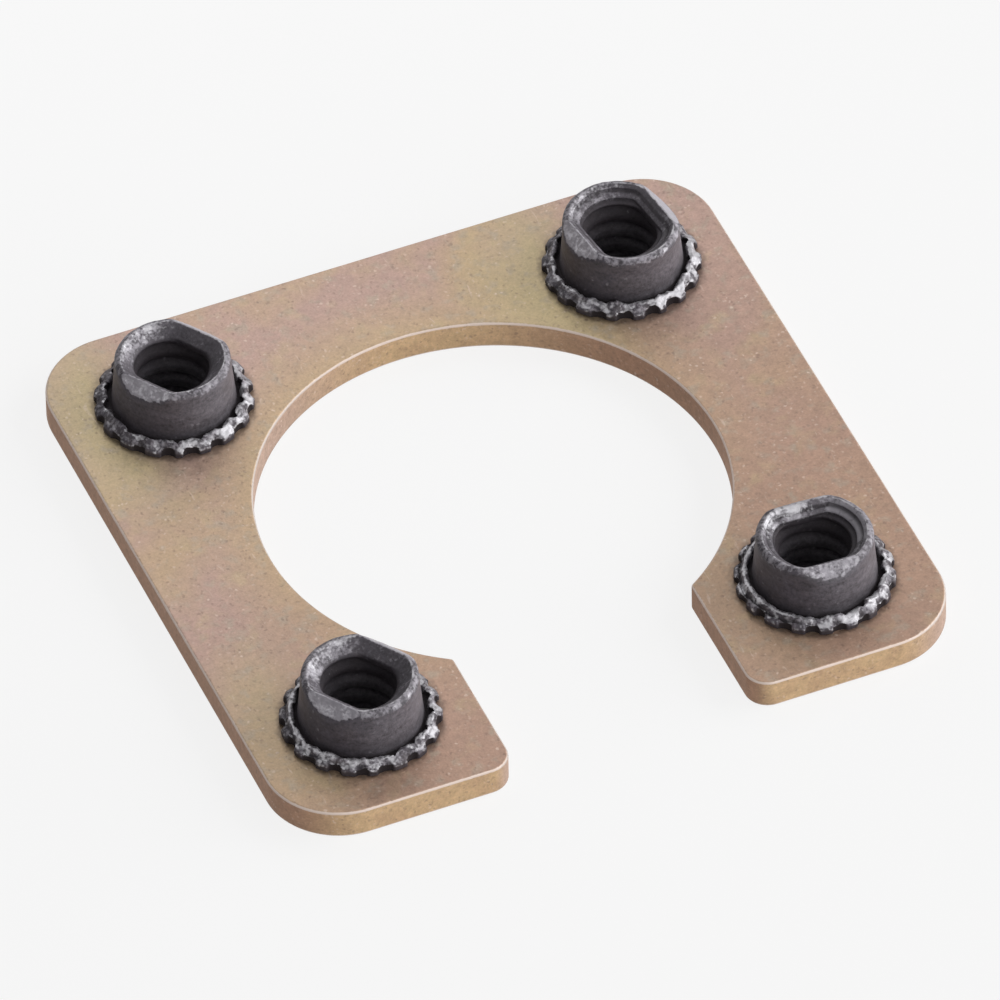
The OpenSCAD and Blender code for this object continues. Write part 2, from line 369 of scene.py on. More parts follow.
def makePlating():
    look = platingLook
    material, tree, shader = newMaterial("platePlating")
    place = objectPlace(tree)
    # where a point lies: from the plate's middle, from the nearest nut, and on that nut's left side
    flat = vector(tree, "MULTIPLY", place, (1, 1, 0))
    fromMiddle = vector(tree, "LENGTH", flat)
    fromNut = fromNearestNut(tree, flat)
    parts = addNode(tree, "ShaderNodeSeparateXYZ")
    wire(tree, flat, parts.inputs[0])
    x, y = parts.outputs["X"], parts.outputs["Y"]
    slanted = calc(tree, "SUBTRACT", calc(tree, "MULTIPLY", x, look["tanSlant"]), y)
    towardsFront = remap(tree, slanted, *look["tanReach"])
    besideNut = calc(tree, "SUBTRACT", x, calc(tree, "MULTIPLY", calc(tree, "SIGN", x), nutOffset))
    shadedLeftOfNut = calc(tree, "MULTIPLY", remap(tree, besideNut, *look["nutShadeSide"]),
                     remap(tree, fromNut, *look["nutShadeReach"]))
    # slow drift of the passivation's colour, with a green tint left of each nut that is painted shade
    golden = calc(tree, "MAXIMUM", patches(tree, place, **look["drift"]),
                  remap(tree, fromMiddle, *look["goldReach"], 0.0, look["goldStrength"]))
    colour = tint(tree, golden, look["pink"], look["gold"])
    colour = tint(tree, calc(tree, "MULTIPLY", towardsFront, look["tanStrength"]), colour, look["tan"])
    # green left of each nut, stronger to the rear: painted shade where the nut hides the plate from the side
    # lamp
    shadedLeftOfNut = calc(tree, "MULTIPLY", shadedLeftOfNut, remap(tree, towardsFront, 0.0, 1.0, *look["nutShadeStrength"]))
    colour = tint(tree, shadedLeftOfNut, colour, look["green"])
    colour = tint(tree, patches(tree, place, **look["film"]), colour, look["green"])
    colour = tint(tree, patches(tree, place, **look["blotch"]), colour, look["grey"])
    # sheared walls: brown where stained and, as a painted shade, where they face left; greyed where they face
    # the side lamp, as a painted dimming
    # walls that face left turn brown as a painted shade, on top of the real stains
    brownedAndShaded = calc(tree, "MAXIMUM", patches(tree, place, **look["stain"]), attribute(tree, "brown"))
    wallColour = tint(tree, brownedAndShaded, look["wallGold"], look["wallBrownAndShade"])
    # walls that face the side lamp are greyed: painted dimming of its light
    wallColour = tint(tree, attribute(tree, "dimmedTowardsLamp"), wallColour, look["wallDimmedTowardsLamp"])
    colour = tint(tree, attribute(tree, "wall"), colour, wallColour)
    # mottle and grain of the sheet
    mottle = cloud(tree, place, **look["mottle"])
    grain = cloud(tree, place, **look["grain"])
    shade = calc(tree, "ADD", remap(tree, mottle, *noiseRange, *look["mottleShade"]),
                 remap(tree, grain, *noiseRange, *look["grainShade"]))
    colour = tint(tree, 1.0, colour, shade, "MULTIPLY")
    # pale dots in loose crowds, fine scratches and dark pits
    uneven = ragged(tree, place, **look["uneven"])
    dots = calc(tree, "MAXIMUM", flecks(tree, uneven, **look["dots"]),
                flecks(tree, uneven, **look["sparseDots"]))
    dots = calc(tree, "MULTIPLY", dots, patches(tree, place, **look["crowd"]))
    bent = ragged(tree, place, **look["bent"])
    lines = calc(tree, "MAXIMUM", *(scratches(tree, bent, *each) for each in look["scratchSets"]))
    marks = calc(tree, "MAXIMUM", calc(tree, "MULTIPLY", dots, look["dotStrength"]),
                 calc(tree, "MULTIPLY", lines, look["scratchStrength"]))
    colour = tint(tree, marks, colour, look["paleDot"])
    pits = calc(tree, "MAXIMUM", flecks(tree, uneven, **look["pits"]),
                flecks(tree, uneven, **look["sparsePits"]))
    colour = tint(tree, calc(tree, "MULTIPLY", pits, look["pitStrength"]), colour, look["darkPit"])
    # grime and painted contact shade round the foot of each collar
    nearCollarFoot = remap(tree, fromNut, *look["grimeAndShadeReach"], look["grimeAndShadeMost"], 0.0)
    ring = brokenWearAndLight(tree, place, nearCollarFoot, **look["grimeAndShadeBreak"])
    colour = tint(tree, calc(tree, "MULTIPLY", ring, look["grimeAndShadeStrength"]), colour, look["grimeAndShade"])
    # rubbed edges, made paler also as a painted highlight
    wornAndLit = brokenWearAndLight(tree, place, attribute(tree, "edge"), **look["edgeWearAndHighlightBreak"])
    # edges that face the side lamp are greyed: painted dimming of their highlight
    edgeWearAndHighlight = tint(tree, attribute(tree, "dimmedTowardsLamp"), look["edge"], look["edgeDimmedTowardsLamp"])
    colour = tint(tree, wornAndLit, colour, edgeWearAndHighlight)
    wire(tree, colour, shader.inputs["Base Color"])
    rough = remap(tree, mottle, *noiseRange, *look["sheetRough"])
    rough = fade(tree, attribute(tree, "wall"), rough, look["wallRough"])
    rough = calc(tree, "ADD", rough, calc(tree, "MULTIPLY", wornAndLit, look["wornRough"]))
    wire(tree, rough, shader.inputs["Roughness"])
    shader.inputs["Metallic"].default_value = look["metallic"]
    height = calc(tree, "ADD", mottle, calc(tree, "MULTIPLY", grain, look["bumpGrain"]))
    height = calc(tree, "SUBTRACT", height, calc(tree, "MULTIPLY", pits, look["bumpPits"]))
    wire(tree, bumpFrom(tree, height, look["bumpDepth"], look["bumpStrength"]), shader.inputs["Normal"])
    return material


# dark dry film coating of the nuts, rubbed through to bare steel in places, with painted shade in its recesses
# and painted light on the side that faces the lamps
coatingLook = {
    "film": (0.082, 0.073, 0.088, 1),
    "brown": (0.089, 0.077, 0.087, 1),
    # the thin colour is lighter film: partly thinner coating, partly painted light on the side facing the lamps
    # and low in the bore
    "thinAndLit": (0.132, 0.121, 0.137, 1),
    # the deep colour is painted shade in the nuts' recesses, bores and under their ledges
    "deep": (0.018, 0.014, 0.016, 1),
    "scuffed": (0.415, 0.392, 0.433, 1),
    "steel": (0.365, 0.358, 0.376, 1),
    "gloss": 0.25,
    "steelMetallic": 0.95,
    "filmRough": (0.40, 0.58),
    "deepRough": 0.85,
    "steelRough": (0.47, 0.64),
    "steelRange": (0.35, 0.65),
    # noises, with their scales in cells a metre
    "patch": {"scale": 1300, "detail": 3.0, "rough": 0.6},
    "brownLevels": (0.40, 0.65),
    "grain": {"scale": 9000, "detail": 3.0, "rough": 0.65},
    "grainShade": (-0.32, 0.32),
    "rubs": {"scale": 1700, "detail": 4.0, "rough": 0.65},  # marks that run round the barrel
    "rubOffset": (0.02, 0, 0),
    "rubStretch": (1, 1, 3),
    "rubShade": (0.70, 1.30),
    "uneven": {"scale": 7000, "amount": 0.16 * mm},
    "specks": {"scale": 5600, "share": 0.10, "size": 0.36},
    "speckStrength": 0.45,
    "scuffAndLightBreak": {"patchScale": 3000, "grainScale": 9000, "breakUp": 1.0},
    "steelWearAndGlint": {"patchScale": 4200, "grainScale": 11000, "breakUp": 1.0},
    "bumpGrain": 0.6,
    "bumpScuffs": 0.3,
    "bumpDepth": 0.03 * mm,
    "bumpStrength": 0.7,
}


def makeCoating():
    look = coatingLook
    material, tree, shader = newMaterial("nutCoating")
    place = objectPlace(tree)
    patch = cloud(tree, place, **look["patch"])
    grain = cloud(tree, place, **look["grain"])
    rubs = cloud(tree, shift(tree, place, look["rubOffset"], look["rubStretch"]), **look["rubs"])
    colour = tint(tree, remap(tree, patch, *look["brownLevels"]), look["film"], look["brown"])
    # lighter film, partly painted light
    colour = tint(tree, attribute(tree, "thinAndLit"), colour, look["thinAndLit"])
    shade = calc(tree, "ADD", remap(tree, rubs, *noiseRange, *look["rubShade"]),
                 remap(tree, grain, *noiseRange, *look["grainShade"]))
    colour = tint(tree, 1.0, colour, shade, "MULTIPLY")
    # paler scuffed film, partly real scuffs and partly painted light on the funnel's lit side
    scuffed = brokenWearAndLight(tree, place, attribute(tree, "scuff"), **look["scuffAndLightBreak"])
    colour = tint(tree, scuffed, colour, look["scuffed"])
    specks = flecks(tree, ragged(tree, place, **look["uneven"]), **look["specks"])
    colour = tint(tree, calc(tree, "MULTIPLY", specks, look["speckStrength"]), colour, look["scuffed"])
    # painted shade: near black where shade falls in groove, notches, pockets, gaps, under the collar's edge, in
    # the bore and under the ledges
    deep = attribute(tree, "deep")
    colour = tint(tree, deep, colour, look["deep"])
    # bare steel, partly rubbed and partly a painted highlight on the side facing the lamps
    bareAndGlint = brokenWearAndLight(tree, place, attribute(tree, "bareAndGlint"), **look["steelWearAndGlint"])
    colour = tint(tree, bareAndGlint, colour, look["steel"])
    wire(tree, colour, shader.inputs["Base Color"])
    rough = fade(tree, deep, remap(tree, grain, *noiseRange, *look["filmRough"]), look["deepRough"])
    rough = fade(tree, bareAndGlint, rough, remap(tree, grain, *look["steelRange"], *look["steelRough"]))
    wire(tree, rough, shader.inputs["Roughness"])
    wire(tree, calc(tree, "MULTIPLY", bareAndGlint, look["steelMetallic"]), shader.inputs["Metallic"])
    shader.inputs["Specular IOR Level"].default_value = look["gloss"]
    height = calc(tree, "ADD", calc(tree, "MULTIPLY", grain, look["bumpGrain"]), patch)
    height = calc(tree, "SUBTRACT", height, calc(tree, "MULTIPLY", scuffed, look["bumpScuffs"]))
    wire(tree, bumpFrom(tree, height, look["bumpDepth"], look["bumpStrength"]), shader.inputs["Normal"])
    return material


plating = makePlating()
coating = makeCoating()
print("finishes made")


# stamped plate: square blank, round opening, slot to the front edge, four shank holes
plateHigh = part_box("plate")[1]
plateTop = plateHigh.z
plateHalf = plateHigh.x
plateShape = {
    "cornerRadius": 2.4 * mm,
    "cornerSteps": 20,
    "openingRadius": 7.4 * mm,
    "openingSteps": 240,
    "slotHalf": 3.95 * mm,
    "tipRadius": 0.75 * mm,
    "tipSteps": 12,
    "shankRadius": 1.95 * mm,
    "footRadius": 2.2 * mm,
    "footDepth": 0.05 * mm,
    "footHeight": 0.35 * mm,
    "shankSteps": 72,
    "edgeRound": 0.1 * mm,
    "edgeSteps": 4,
    "edgeAngle": 50,  # degrees: a sharper edge is broken
    "smoothAngle": 40,
    "past": 0.5 * mm,  # how far a cutter runs past a face
    "levelFace": 0.9,  # a face whose normal is more upright than this is level
    "wallDepths": (0.05, 0.6),  # where the wall's colour starts and is full, in parts of the edge's rounding
    "leftShadeTurns": (0.2, 0.9),  # how far a wall is turned to the left where its brown, a painted shade, starts and is full
    "lampDimTurns": (0.0, 0.7),  # the same to the right, for the painted dimming against the side lamp
}


def pickEdges(piece, test):
    # selects edges by the places of their ends and goes into edit mode
    activate(piece)
    bpy.context.tool_settings.mesh_select_mode = (False, True, False)
    mesh = piece.data
    for item in (*mesh.vertices, *mesh.edges, *mesh.polygons):
        item.select = False
    for edge in mesh.edges:
        first, second = (mesh.vertices[i].co for i in edge.vertices)
        edge.select = test(first, second)
    bpy.ops.object.mode_set(mode="EDIT")


def isUpright(first, second):
    return (first - second).xy.length < hair and abs(first.z - second.z) > plateTop / 10


def cutAway(piece, cutter):
    activate(piece)
    modifier = piece.modifiers.new("cut", "BOOLEAN")
    modifier.object = cutter
    modifier.operation = "DIFFERENCE"
    modifier.solver = "EXACT"
    bpy.ops.object.modifier_apply(modifier="cut")
    bpy.data.objects.remove(cutter)


def makePlate():
    shape = plateShape
    middle = plateTop / 2
    tall = plateTop + 2 * shape["past"]
    bpy.ops.object.select_all(action="DESELECT")
    bpy.ops.mesh.primitive_cube_add(size=1, location=(0, 0, middle),
                                    scale=(2 * plateHalf, 2 * plateHalf, plateTop))
    plate = bpy.context.object
    plate.name = "plate_sheet"
    bpy.ops.object.transform_apply(location=True, rotation=True, scale=True)
    pickEdges(plate, isUpright)
    bpy.ops.mesh.bevel(offset=shape["cornerRadius"], segments=shape["cornerSteps"], affect="EDGES")
    # opening and slot
    bpy.ops.object.mode_set(mode="OBJECT")
    bpy.ops.mesh.primitive_cylinder_add(vertices=shape["openingSteps"], radius=shape["openingRadius"],
                                        depth=tall, location=(0, 0, middle))
    cutAway(plate, bpy.context.object)
    bpy.ops.mesh.primitive_cube_add(size=1, location=(0, -plateHalf, middle),
                                    scale=(2 * shape["slotHalf"], 2 * (plateHalf - shape["slotHalf"]), tall))
    cutAway(plate, bpy.context.object)
    # round tips beside the mouth of the slot
    pickEdges(plate, lambda a, b: isUpright(a, b) and a.y < -plateHalf + hair
              and abs(abs(a.x) - shape["slotHalf"]) < hair)
    bpy.ops.mesh.bevel(offset=shape["tipRadius"], segments=shape["tipSteps"], affect="EDGES")
    bpy.ops.object.mode_set(mode="OBJECT")
    # shank holes, countersunk from below
    flare = (shape["footRadius"] - shape["shankRadius"]) / (shape["footHeight"] - shape["footDepth"])
    sinkTall = shape["footHeight"] + shape["past"]
    sinkMiddle = (shape["footHeight"] - shape["past"]) / 2
    for name in nutNames:
        centre = nutCentre(name)
        bpy.ops.mesh.primitive_cylinder_add(vertices=shape["shankSteps"], radius=shape["shankRadius"],
                                            depth=tall, location=(centre.x, centre.y, middle))
        cutAway(plate, bpy.context.object)
        bpy.ops.mesh.primitive_cone_add(vertices=shape["shankSteps"], depth=sinkTall,
                                        radius1=shape["shankRadius"] + flare * sinkTall,
                                        radius2=shape["shankRadius"],
                                        location=(centre.x, centre.y, sinkMiddle))
        cutAway(plate, bpy.context.object)
    # broken edges
    activate(plate)
    bevel = plate.modifiers.new("edges", "BEVEL")
    bevel.width = shape["edgeRound"]
    bevel.segments = shape["edgeSteps"]
    bevel.limit_method = "ANGLE"
    bevel.angle_limit = math.radians(shape["edgeAngle"])
    bpy.ops.object.modifier_apply(modifier="edges")
    # the rounding uses up the short faces where the slot meets the opening, so their ends are merged
    bpy.ops.object.mode_set(mode="EDIT")
    bpy.ops.mesh.select_all(action="SELECT")
    bpy.ops.mesh.remove_doubles(threshold=hair)
    bpy.ops.object.mode_set(mode="OBJECT")
    bpy.ops.object.shade_smooth_by_angle(angle=math.radians(shape["smoothAngle"]))
    weighted = plate.modifiers.new("weighted", "WEIGHTED_NORMAL")
    weighted.mode = "FACE_AREA"
    weighted.weight = 100
    weighted.keep_sharp = True
    bpy.ops.object.modifier_apply(modifier="weighted")
    return plate


def markPlate(plate):
    # edge is 1 on the middle of a broken edge and wall is 1 on upright faces; a third layer marks walls that
    # face left, for a painted shade, and a fourth those that face right, for a painted dimming against the side
    # lamp
    mesh, shape = plate.data, plateShape
    layers = ("edge", "wall", "brown", "dimmedTowardsLamp")
    for layer in layers:
        mesh.attributes.new(layer, "FLOAT", "POINT")
    edge, wall, brown, dimmedTowardsLamp = (mesh.attributes[layer].data for layer in layers)
    outward = [Vector() for vertex in mesh.vertices]
    for face in mesh.polygons:
        if abs(face.normal.z) < shape["levelFace"]:
            for index in face.vertices:
                outward[index] += face.normal
    for vertex, facing in zip(mesh.vertices, outward):
        index = vertex.index
        # 0 at a level side, 1 where the wall starts
        depth = min(vertex.co.z, plateTop - vertex.co.z) / shape["edgeRound"]
        wall[index].value = smoothStep(*shape["wallDepths"], depth)
        edge[index].value = max(0.0, 1 - (2 * depth - 1) ** 2)
        if facing.length > 0:
            toRight = facing.normalized().x
            # walls that face left are marked for a painted shade, those that face right for a painted dimming
            brown[index].value = smoothStep(*shape["leftShadeTurns"], -toRight)
            dimmedTowardsLamp[index].value = smoothStep(*shape["lampDimTurns"], toRight)


plate = makePlate()
markPlate(plate)
plate.data.materials.clear()
plate.data.materials.append(plating)
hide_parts("plate")
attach(plate, "root")
print("plate made,", len(plate.data.polygons), "faces")


# clinch nut: turned outline, knurled collar, crimped mouth; sizes in mm
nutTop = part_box("nut_rear_left")[1].z / mm
sheetTop = plateTop / mm
nutShape = {
    "steps": 360,
    "coarse": 0.3,  # gaps between the rows of the turned outline
    "middling": 0.07,
    "fine": 0.03,
    "footRadius": 2.2,
    "footDepth": 0.05,
    "footHeight": 0.35,
    "shankRadius": 1.95,
    "collarRadius": 2.5,
    "collarEdge": 0.26,
    "crestRadius": 2.2,
    "crestHeight": 0.46,
    "crestWidth": 0.16,
    "grooveHeight": 0.26,
    "barrelRadius": 1.91,
    "barrelTopRadius": 1.8,
    "shoulder": 0.2,
    "boreRadius": 1.13,
    "funnelDepth": 0.46,
    "leadRadius": 1.42,
    "threadDepth": 0.18,
    "threadPitch": 0.635,
    "teeth": 18,
    "notchDepth": 0.17,
    "notchHalf": 0.23,
    "pocketDepth": 0.19,
    "pocketHalf": 0.25,
    "pocketTurn": 7,
    "rubbedAndLitSide": -40,  # degrees: the side of the collar that is rubbed most and faces the lamps; its extra bare steel is partly a painted highlight
    "litFunnelSide": 118,  # degrees: the side of the funnel that faces the lamps; its paler scuffing and bare steel are painted light
    "paleSide": 10,  # degrees: the side of the funnel that is scuffed on some nuts
    "valleyRadius": 2.31,  # between the inner ridge and the teeth
    "valleyDepth": 0.11,
    "thinnestTooth": 0.06,
    "ledges": ((0.11, 0.21), (0.31, 0.40)),  # depths below the mouth between which the funnel steps back
    "ledgeBlend": 0.03,
    "flatReach": 1.40,
    "flatLean": 45,
    "mouthReach": 1.36,
    "throatReach": 1.02,
    "throatEnds": (0.6, 1.0),  # depths over which the squeeze of the bore ends
    "flatSoft": 0.03,
    "throatSoft": 0.05,
    "crimpStart": 0.5,  # above the sheet
    "swellDepth": 0.8,
    "smoothAngle": 50,
}
# direction of the crimped sides and first notch in degrees, scuffing and chips of the flats, ledges in
# the funnel, swelling of the mouth, rubbing of the collar on the side facing the lamps, partly a painted
# highlight, and on its other side, valley behind the ridge, bare steel on the funnel's lit side as a painted
# highlight, and scuffing of its pale side
nutTurns = {
    "nut_rear_left": {"flats": -56, "notches": 2, "scuff": 0.92, "chips": 0.36, "ledge": 0.0, "swell": 0.02,
                      "litSideRub": 0.86, "awaySideRub": 0.30, "valley": 0.0, "gleam": 0.20, "pale": 0.0},
    "nut_rear_right": {"flats": -82, "notches": 8, "scuff": 0.92, "chips": 0.35, "ledge": 0.08, "swell": 0.14,
                       "litSideRub": 0.86, "awaySideRub": 0.36, "valley": 0.3, "gleam": 0.16, "pale": 0.0},
    "nut_front_left": {"flats": -55, "notches": 7, "scuff": 0.92, "chips": 0.35, "ledge": 0.0, "swell": 0.02,
                       "litSideRub": 0.60, "awaySideRub": 0.54, "valley": 0.7, "gleam": 0.18, "pale": 0.06},
    "nut_front_right": {"flats": -3, "notches": 3, "scuff": 0.60, "chips": 0.36, "ledge": 0.10, "swell": 0.03,
                        "litSideRub": 0.64, "awaySideRub": 0.46, "valley": 1.0, "gleam": 0.36, "pale": 0.60},
}
lipRadius = nutShape["barrelTopRadius"] - nutShape["shoulder"]
ridgeInner = nutShape["crestRadius"] - nutShape["crestWidth"]


def nutOutline():
    # closed outline as radius, height and gap of the rows that lead there, from the foot up and down the bore
    s = nutShape
    coarse, middling, fine = s["coarse"], s["middling"], s["fine"]
    edgeTop = sheetTop + s["collarEdge"]
    crestTop = sheetTop + s["crestHeight"]
    groove = sheetTop + s["grooveHeight"]
    throat = nutTop - s["funnelDepth"]
    shoulder = [(s["barrelTopRadius"] - s["shoulder"] * (1 - math.cos(math.radians(turn))),
                 nutTop - s["shoulder"] * (1 - math.sin(math.radians(turn))),
                 fine if turn else middling) for turn in range(0, 91, 15)]
    return [
        (s["leadRadius"], s["footDepth"], coarse), (s["footRadius"], s["footDepth"], coarse),
        (s["shankRadius"], s["footHeight"], coarse), (s["shankRadius"], sheetTop - 0.02, coarse),
        (s["collarRadius"] - 0.05, sheetTop + 0.005, middling), (s["collarRadius"], sheetTop + 0.04, fine),
        (s["collarRadius"], edgeTop - 0.05, fine), (s["collarRadius"] - 0.02, edgeTop - 0.01, fine),
        (s["collarRadius"] - 0.06, edgeTop + 0.03, fine), (s["crestRadius"] + 0.04, crestTop - 0.025, fine),
        (s["crestRadius"], crestTop, fine), (ridgeInner + 0.06, crestTop, fine),
        (ridgeInner + 0.03, crestTop - 0.03, fine), (ridgeInner, groove + 0.06, fine),
        (ridgeInner - 0.03, groove + 0.01, fine), (s["barrelRadius"] + 0.07, groove, fine),
        (s["barrelRadius"] + 0.025, groove + 0.06, fine), (s["barrelRadius"], groove + 0.3, middling),
        *shoulder,
        (lipRadius - 0.04, nutTop - 0.02, fine), (s["boreRadius"] + 0.07, throat + 0.08, fine),
        (s["boreRadius"], throat, fine), (s["boreRadius"], s["footDepth"] + 0.30, middling),
        (s["leadRadius"], s["footDepth"], middling),
    ]


def turnBlank():
    # the outline is drawn by extruding one point, then spun round the axis
    points = nutOutline()
    bpy.ops.object.select_all(action="DESELECT")
    bpy.ops.mesh.primitive_plane_add(size=mm, location=(0, 0, 0))
    blank = bpy.context.object
    bpy.context.tool_settings.mesh_select_mode = (True, False, False)
    bpy.ops.object.mode_set(mode="EDIT")
    bpy.ops.mesh.select_all(action="SELECT")
    bpy.ops.mesh.merge(type="CENTER")
    bpy.ops.transform.translate(value=Vector((points[0][0], 0, points[0][1])) * mm)
    for (fromRadius, fromHeight, _), (radius, height, gap) in zip(points, points[1:]):
        step = Vector((radius - fromRadius, 0, height - fromHeight))
        rows = max(1, round(step.length / gap))
        for row in range(rows):
            bpy.ops.mesh.extrude_region_move(TRANSFORM_OT_translate={"value": step * mm / rows})
    bpy.ops.mesh.select_all(action="SELECT")
    bpy.ops.mesh.spin(steps=nutShape["steps"], angle=2 * math.pi, center=(0, 0, 0), axis=(0, 0, 1))
    bpy.ops.mesh.select_all(action="SELECT")
    bpy.ops.mesh.remove_doubles(threshold=hair)
    bpy.ops.mesh.normals_make_consistent(inside=False)
    bpy.ops.object.mode_set(mode="OBJECT")
    bpy.ops.object.shade_smooth_by_angle(angle=math.radians(nutShape["smoothAngle"]))
    return blank


toothStep = 360 / nutShape["teeth"]
innerStart = lipRadius - 0.005  # rows nearer the axis than this belong to the funnel and the bore
# how uneven and how rubbed all four nuts are, and where light and shade are painted on them; sizes in mm, noise
# scales in cells a mm
nutWear = {
    "stray": 2.0,  # degrees by which a notch or pocket lies off its place
    "cutWidths": (0.85, 1.15),
    "cutDepths": (0.6, 1.15),
    "toothLifts": (-0.05, 0.06),
    "toothLeans": (-0.09, 0.09),
    "toothDrop": 0.02,
    "gapDrop": 0.12,
    "lump": {"scale": 2.6, "out": 0.025, "down": 0.06},
    "dent": {"scale": 7.0, "out": 0.018, "down": 0.045},
    "grain": {"scale": 15.0, "out": 0.010, "down": 0.02},
    "litTurns": (-0.3, 0.95),  # how far the collar faces the lamps' side where its bare steel, partly a painted highlight, starts and is full
    "valleyTurns": (-0.2, 0.5),
    "pocketFill": 0.8,  # how much of a pocket a full valley fills
    "tops": {"start": 0.05, "rubbedAndLit": 0.75, "lump": 0.5, "dent": 0.4, "gap": -0.9},
    "crest": {"start": 0.34, "rubbedAndLit": 0.4, "valley": 0.35, "dent": 0.6, "dentInValley": -0.3},
    "rim": {"start": 0.30, "rubbedAndLit": 0.4, "dent": 0.6},
    "shelter": 0.8,  # how much less the notches and pockets are rubbed
    "topScuff": 0.35,
    # painted shade in the collar's groove, valley, gaps between teeth, pockets and under its top edge
    "paintedShadeBy": {"groove": 0.45, "hollow": 0.9, "gap": 0.6, "pocket": 0.9, "under": 0.6},
    "funnelScale": 2.2,
    "sideTurns": (0.5, 0.95),
    # paler scuffing of the funnel, more on its lit far side as painted light
    "funnelScuff": {"start": 0.15, "far": 0.30, "noise": 0.30},
    "funnelBare": 0.18,
    # bare steel at the mouth on the lit far side: a painted highlight
    "mouthGlint": 0.28,
    "mouthDepths": (0.28, 0.05),
    "litThread": (1.0, 1.8),  # depths between which the thread turns pale: painted light low in the bore
    "funnelThin": 0.8,
    # painted shade in the bore and painted shadow under the funnel's ledges
    "boreShade": 0.66,
    "ledgeShadow": 7,
    "chip": {"scale": 6.0, "deep": 0.012},
    "barrel": {"scale": 1.6, "out": 0.006},
    "ripple": {"scale": 4.0, "out": 0.012},
    "rimScuff": 0.45,
    # lighter film on the barrel's side that faces the lamps: painted light
    "litSideTurns": (-0.1, 0.9),
    # painted shade low on the barrel, next to the collar
    "baseShade": 0.56,
    "baseHeights": (1.2, 0.3),
    "rimBare": 0.26,
    # more bare steel at the rim on the side facing the lamps: a painted glint
    "rimGlintFacing": 0.20,
    "lipBare": 0.50,
    "lipWidth": 0.06,
    "pressedDepths": (0.02, 0.05),
    "flat": {"scale": 8.0, "out": 0.014},
}


def cutRing(draw, half):
    # one set of cuts round the collar: a centre, a half width and a depth factor for each
    stray = nutWear["stray"]
    return [(i * toothStep + draw.uniform(-stray, stray), half * draw.uniform(*nutWear["cutWidths"]),
             draw.uniform(*nutWear["cutDepths"])) for i in range(nutShape["teeth"])]


def cutDepth(ring, degrees, radius, rounded):
    # how deep the nearest cut is at this angle, 0 to about 1, half round or a vee
    centre, half, depth = ring[round(degrees / toothStep) % nutShape["teeth"]]
    away = (degrees - centre + 180) % 360 - 180
    reach = min(abs(math.radians(away)) * radius / half, 1.0)
    return depth * (math.sqrt(1 - reach * reach) if rounded else 1 - reach)


def toothLift(lifts, degrees):
    # each tooth stands a little higher or lower than the next, and leans
    turn = degrees / toothStep
    lift, lean = lifts[math.floor(turn) % nutShape["teeth"]]
    along = turn % 1.0
    return math.sin(math.pi * along) * (lift + lean * (2 * along - 1))


def collarSlope(radius):
    # height of the collar's conical face, before the teeth
    s = nutShape
    share = (s["collarRadius"] - radius) / (s["collarRadius"] - s["crestRadius"])
    return sheetTop + s["collarEdge"] + (s["crestHeight"] - s["collarEdge"]) * min(max(share, 0.0), 1.0)


def crimpLimit(radius, height):
    # half width that the crimp leaves at this row of the outline
    s = nutShape
    deep = nutTop - height
    if radius > innerStart:
        return s["flatReach"] + deep * math.tan(math.radians(s["flatLean"]))
    reach = max(s["throatReach"], s["mouthReach"] - deep)
    return reach + 2 * smoothStep(*s["throatEnds"], deep)


def threadRise(height, degrees):
    # how far the wall stands back behind the thread's crest
    s = nutShape
    turn = (height / s["threadPitch"] - degrees / 360) % 1.0
    groove = smoothStep(0.08, 0.5, turn) if turn < 0.5 else smoothStep(0.92, 0.5, turn)
    fading = smoothStep(s["footDepth"] + 0.25, s["footDepth"] + 0.5, height)
    fading *= smoothStep(nutTop - s["funnelDepth"] + 0.12, nutTop - s["funnelDepth"] - 0.1, height)
    return s["threadDepth"] * groove * fading


def bell(value, width):
    return math.exp(-(value / width) ** 2)


def turnedTo(degrees, side):
    # 1 on this side of the nut, -1 on the other
    return math.cos(math.radians(degrees - side))


